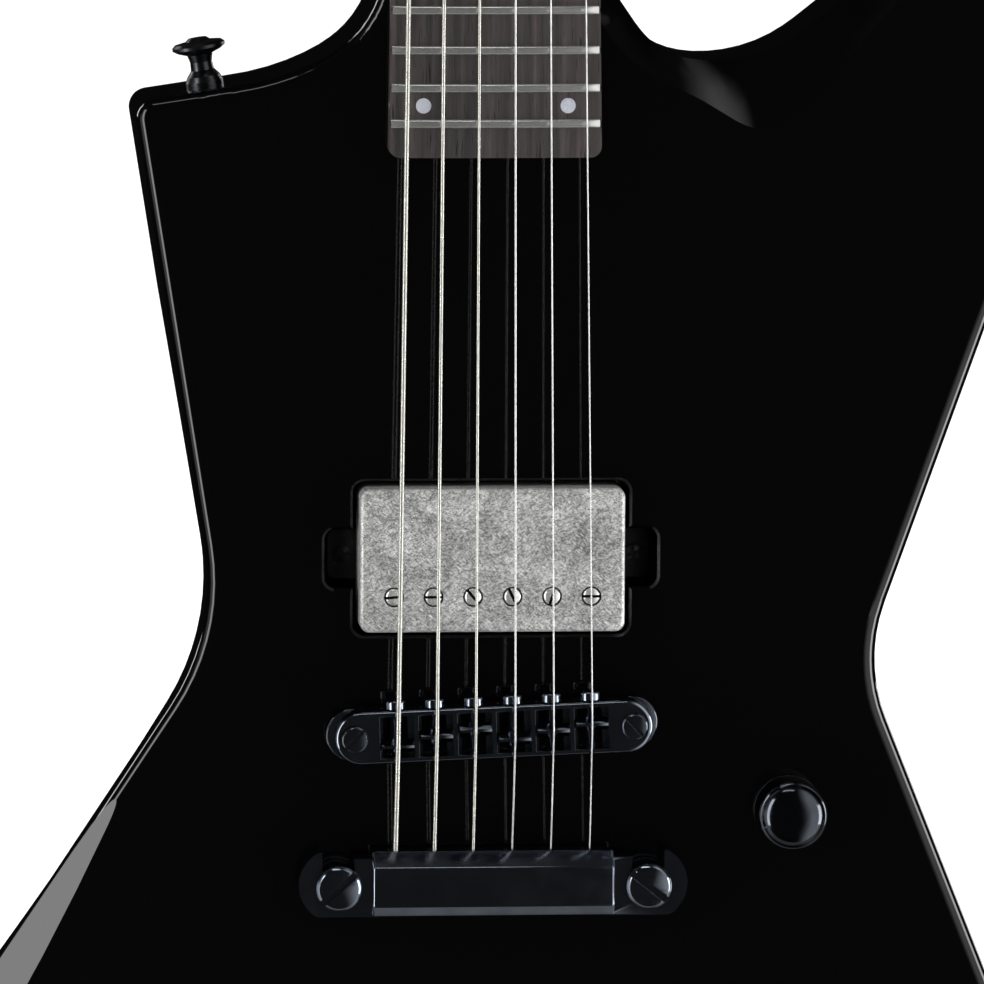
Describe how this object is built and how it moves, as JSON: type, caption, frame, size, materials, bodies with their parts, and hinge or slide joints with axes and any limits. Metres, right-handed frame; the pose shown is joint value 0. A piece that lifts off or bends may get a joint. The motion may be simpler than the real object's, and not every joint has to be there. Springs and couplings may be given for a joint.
{
  "type": "electric guitar",
  "caption": "Angular offset-body electric guitar in gloss black with a set neck, one humbucker, a tune-o-matic bridge, stop tailpiece and a volume knob.",
  "frame": {"origin": "on the centreline at the nut's fretboard side, in the middle of the neck's thickness, where a hanger holds the neck", "axes": "+X towards the treble strings, -Y out of the strings and the front, +Z towards the headstock"},
  "size_m": [0.3957, 0.0791, 1.0005],
  "materials": {
    "gloss_black": "high-gloss black polyester lacquer over wood",
    "rosewood": "oiled dark rosewood",
    "fret_steel": "polished nickel-silver",
    "pearl": "pearloid",
    "black_nut": "graphite-filled plastic",
    "zinc_steel": "zinc-plated steel",
    "black_plastic": "moulded black",
    "black_steel": "black oxide",
    "string_nickel": "nickel winding",
    "string_steel": "tin-plated steel",
    "black_chrome": "black chrome",
    "aged_nickel": "aged, scratched nickel",
    "magnet": "as cast",
    "copper_wire": "enamelled wire",
    "pole_nickel": "nickel plated",
    "wire_insulation": "insulated wire",
    "knob_black": "black chrome, knurled side",
    "brass_shaft": "turned"
  },
  "bodies": {
    "root": {"body": "gloss_black", "neck": "gloss_black", "fretboard": "rosewood", "frets": "fret_steel", "dot_inlays": "pearl", "nut": "black_nut", "truss_rod": "zinc_steel", "truss_cover": "black_plastic", "cover_screws": "black_steel", "cavity_cover": "black_plastic", "wound_strings": "string_nickel", "plain_strings": "string_steel", "tuner_housings": "black_chrome", "tuner_bushings": "black_chrome", "tuner_screws": "black_steel", "pickup_cover": "aged_nickel", "pickup_baseplate": "black_steel", "pickup_magnet": "magnet", "pickup_bobbins": "black_plastic", "pickup_coils": "copper_wire", "pole_screws": "pole_nickel", "pole_slugs": "pole_nickel", "pickup_screws": "black_steel", "bridge_body": "black_chrome", "bridge_studs": "black_chrome", "stud_bushings": "black_chrome", "tailpiece": "black_chrome", "tail_studs": "black_chrome", "volume_pot": "zinc_steel", "pot_nut": "black_steel", "output_jack": "black_steel", "wiring": "wire_insulation", "strap_buttons": "black_steel", "strap_screws": "black_steel"},
    "tuner_key_1": {"tuner_key_1": "black_chrome"},
    "tuner_post_1": {"tuner_post_1": "black_chrome"},
    "tuner_key_2": {"tuner_key_2": "black_chrome"},
    "tuner_post_2": {"tuner_post_2": "black_chrome"},
    "tuner_key_3": {"tuner_key_3": "black_chrome"},
    "tuner_post_3": {"tuner_post_3": "black_chrome"},
    "tuner_key_4": {"tuner_key_4": "black_chrome"},
    "tuner_post_4": {"tuner_post_4": "black_chrome"},
    "tuner_key_5": {"tuner_key_5": "black_chrome"},
    "tuner_post_5": {"tuner_post_5": "black_chrome"},
    "tuner_key_6": {"tuner_key_6": "black_chrome"},
    "tuner_post_6": {"tuner_post_6": "black_chrome"},
    "saddle_1": {"saddle_1": "black_chrome"},
    "saddle_screw_1": {"saddle_screw_1": "black_chrome"},
    "saddle_2": {"saddle_2": "black_chrome"},
    "saddle_screw_2": {"saddle_screw_2": "black_chrome"},
    "saddle_3": {"saddle_3": "black_chrome"},
    "saddle_screw_3": {"saddle_screw_3": "black_chrome"},
    "saddle_4": {"saddle_4": "black_chrome"},
    "saddle_screw_4": {"saddle_screw_4": "black_chrome"},
    "saddle_5": {"saddle_5": "black_chrome"},
    "saddle_screw_5": {"saddle_screw_5": "black_chrome"},
    "saddle_6": {"saddle_6": "black_chrome"},
    "saddle_screw_6": {"saddle_screw_6": "black_chrome"},
    "volume_control": {"volume_knob": "knob_black", "pot_shaft": "brass_shaft"}
  },
  "joints": [
    {"name": "key_1_turn", "type": "hinge", "parent": "root", "child": "tuner_key_1", "pos_m": [-0.02603, 0.02059, 0.02898], "axis": [-1, 0, 0], "continuous": true},
    {"name": "post_1_turn", "type": "hinge", "parent": "root", "child": "tuner_post_1", "pos_m": [-0.02603, 0.00319, 0.04187], "axis": [0, -0.9703, 0.2419], "continuous": true},
    {"name": "key_2_turn", "type": "hinge", "parent": "root", "child": "tuner_key_2", "pos_m": [-0.02378, 0.02978, 0.06585], "axis": [-1, 0, 0], "continuous": true},
    {"name": "post_2_turn", "type": "hinge", "parent": "root", "child": "tuner_post_2", "pos_m": [-0.02378, 0.01239, 0.07874], "axis": [0, -0.9703, 0.2419], "continuous": true},
    {"name": "key_3_turn", "type": "hinge", "parent": "root", "child": "tuner_key_3", "pos_m": [-0.02154, 0.03898, 0.10272], "axis": [-1, 0, 0], "continuous": true},
    {"name": "post_3_turn", "type": "hinge", "parent": "root", "child": "tuner_post_3", "pos_m": [-0.02154, 0.02158, 0.11561], "axis": [0, -0.9703, 0.2419], "continuous": true},
    {"name": "key_4_turn", "type": "hinge", "parent": "root", "child": "tuner_key_4", "pos_m": [0.02154, 0.03898, 0.10272], "axis": [1, 0, 0], "continuous": true},
    {"name": "post_4_turn", "type": "hinge", "parent": "root", "child": "tuner_post_4", "pos_m": [0.02154, 0.02158, 0.11561], "axis": [0, -0.9703, 0.2419], "continuous": true},
    {"name": "key_5_turn", "type": "hinge", "parent": "root", "child": "tuner_key_5", "pos_m": [0.02378, 0.02978, 0.06585], "axis": [1, 0, 0], "continuous": true},
    {"name": "post_5_turn", "type": "hinge", "parent": "root", "child": "tuner_post_5", "pos_m": [0.02378, 0.01239, 0.07874], "axis": [0, -0.9703, 0.2419], "continuous": true},
    {"name": "key_6_turn", "type": "hinge", "parent": "root", "child": "tuner_key_6", "pos_m": [0.02603, 0.02059, 0.02898], "axis": [1, 0, 0], "continuous": true},
    {"name": "post_6_turn", "type": "hinge", "parent": "root", "child": "tuner_post_6", "pos_m": [0.02603, 0.00319, 0.04187], "axis": [0, -0.9703, 0.2419], "continuous": true},
    {"name": "saddle_screw_1_turn", "type": "hinge", "parent": "root", "child": "saddle_screw_1", "pos_m": [-0.02568, -0.0244, -0.63263], "axis": [-0.0401, 0, 0.9992], "range_deg": [-793, 4109]},
    {"name": "saddle_1_slide", "type": "slide", "parent": "root", "child": "saddle_1", "axis": [-0.0401, 0, 0.9992], "range_m": [-0.0011, 0.0057], "deforming": ["wound_strings"]},
    {"name": "saddle_screw_2_turn", "type": "hinge", "parent": "root", "child": "saddle_screw_2", "pos_m": [-0.01541, -0.0244, -0.63222], "axis": [-0.0401, 0, 0.9992], "range_deg": [-2379, 2523]},
    {"name": "saddle_2_slide", "type": "slide", "parent": "root", "child": "saddle_2", "axis": [-0.0401, 0, 0.9992], "range_m": [-0.0033, 0.0035]},
    {"name": "saddle_screw_3_turn", "type": "hinge", "parent": "root", "child": "saddle_screw_3", "pos_m": [-0.00514, -0.0244, -0.63181], "axis": [-0.0401, 0, 0.9992], "range_deg": [-3316, 1586]},
    {"name": "saddle_3_slide", "type": "slide", "parent": "root", "child": "saddle_3", "axis": [-0.0401, 0, 0.9992], "range_m": [-0.0046, 0.0022]},
    {"name": "saddle_screw_4_turn", "type": "hinge", "parent": "root", "child": "saddle_screw_4", "pos_m": [0.00514, -0.0244, -0.63139], "axis": [-0.0401, 0, 0.9992], "range_deg": [-1226, 3676]},
    {"name": "saddle_4_slide", "type": "slide", "parent": "root", "child": "saddle_4", "axis": [-0.0401, 0, 0.9992], "range_m": [-0.0017, 0.0051]},
    {"name": "saddle_screw_5_turn", "type": "hinge", "parent": "root", "child": "saddle_screw_5", "pos_m": [0.01541, -0.0244, -0.63098], "axis": [-0.0401, 0, 0.9992], "range_deg": [-2451, 2451]},
    {"name": "saddle_5_slide", "type": "slide", "parent": "root", "child": "saddle_5", "axis": [-0.0401, 0, 0.9992], "range_m": [-0.0034, 0.0034]},
    {"name": "saddle_screw_6_turn", "type": "hinge", "parent": "root", "child": "saddle_screw_6", "pos_m": [0.02568, -0.0244, -0.63057], "axis": [-0.0401, 0, 0.9992], "range_deg": [-3316, 1586]},
    {"name": "saddle_6_slide", "type": "slide", "parent": "root", "child": "saddle_6", "axis": [-0.0401, 0, 0.9992], "range_m": [-0.0046, 0.0022], "deforming": ["plain_strings"]},
    {"name": "volume_turn", "type": "hinge", "parent": "root", "child": "volume_control", "pos_m": [0.0792, -0.0142, -0.6543], "axis": [0, -1, 0], "range_deg": [0, 300]}
  ],
  "couplings": [
    {"joint": "key_1_turn", "follows": "post_1_turn", "ratio": -18},
    {"joint": "key_2_turn", "follows": "post_2_turn", "ratio": -18},
    {"joint": "key_3_turn", "follows": "post_3_turn", "ratio": -18},
    {"joint": "key_4_turn", "follows": "post_4_turn", "ratio": 18},
    {"joint": "key_5_turn", "follows": "post_5_turn", "ratio": 18},
    {"joint": "key_6_turn", "follows": "post_6_turn", "ratio": 18},
    {"joint": "saddle_screw_1_turn", "follows": "saddle_1_slide", "rad_per_m": 12566},
    {"joint": "saddle_screw_2_turn", "follows": "saddle_2_slide", "rad_per_m": 12566},
    {"joint": "saddle_screw_3_turn", "follows": "saddle_3_slide", "rad_per_m": 12566},
    {"joint": "saddle_screw_4_turn", "follows": "saddle_4_slide", "rad_per_m": 12566},
    {"joint": "saddle_screw_5_turn", "follows": "saddle_5_slide", "rad_per_m": 12566},
    {"joint": "saddle_screw_6_turn", "follows": "saddle_6_slide", "rad_per_m": 12566}
  ]
}
